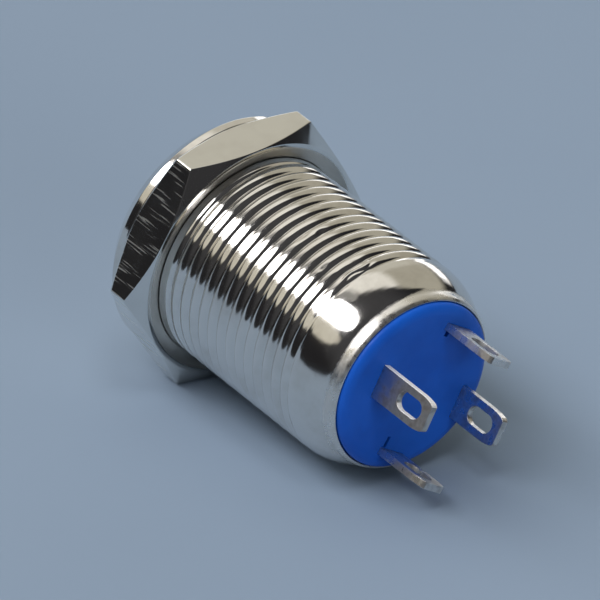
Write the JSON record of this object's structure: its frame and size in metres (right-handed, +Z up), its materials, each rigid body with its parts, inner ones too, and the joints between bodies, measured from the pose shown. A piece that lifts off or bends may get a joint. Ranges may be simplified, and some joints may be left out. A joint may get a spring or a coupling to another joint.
{
  "type": "anti vandal push button",
  "caption": "Metal panel push button with a round head, hexagon nut, threaded barrel, blue rear base and solder blades.",
  "frame": {"origin": "on the button's axis, in the plane of the seat under the head that meets the front of the panel", "axes": "+Y along the button's axis from the head to the terminals, so the face of the button looks to -Y; +Z up, square to the top flat of the nut; +X to the right seen from the face"},
  "size_m": [0.0162, 0.0225, 0.014],
  "materials": {
    "nickel": "polished nickel plating on turned brass",
    "nut_nickel": "polished nickel plating on brass, light scratches",
    "cap_metal": "nickel plating, fine turned face",
    "light_ring": "milky clear plastic",
    "seal_rubber": "matt black rubber",
    "spring_steel": "bright spring wire",
    "board": "white solder mask",
    "lamp_chip": "lamp chip in clear resin",
    "resistor_body": "black chip",
    "plunger_plastic": "natural acetal",
    "contact_strip": "sprung copper alloy",
    "silver": "silver contact tips",
    "carrier_plastic": "moulded nylon",
    "base_blue": "royal blue moulded plastic, satin",
    "terminal_tin": "bright tin plating on brass",
    "lead_red": "insulated wire",
    "lead_black": "insulated wire"
  },
  "bodies": {
    "switch_body": {"housing": "nickel", "hex_nut": "nut_nickel", "panel_seal": "seal_rubber", "light_guide": "light_ring", "stem_seal": "seal_rubber", "led_board": "board", "led_chips": "lamp_chip", "lamp_resistor": "resistor_body", "fixed_contacts": "silver", "return_spring": "spring_steel", "contact_carrier": "carrier_plastic", "base_gasket": "seal_rubber", "base": "base_blue", "terminal_common": "terminal_tin", "terminal_switched": "terminal_tin", "terminal_lamp_pos": "terminal_tin", "terminal_lamp_neg": "terminal_tin", "lamp_lead_pos": "lead_red", "lamp_lead_neg": "lead_black"},
    "button": {"push_cap": "cap_metal", "retaining_ring": "spring_steel", "plunger": "plunger_plastic", "contact_spring": "spring_steel", "contact_bridge": "contact_strip", "bridge_contacts": "silver"}
  },
  "joints": [
    {"name": "button_press", "type": "slide", "parent": "switch_body", "child": "button", "axis": [0, 1, 0], "range_m": [0, 0.0012], "stiffness_N_per_m": 1200, "springref_m": -0.0015, "deforming": ["return_spring"]}
  ]
}
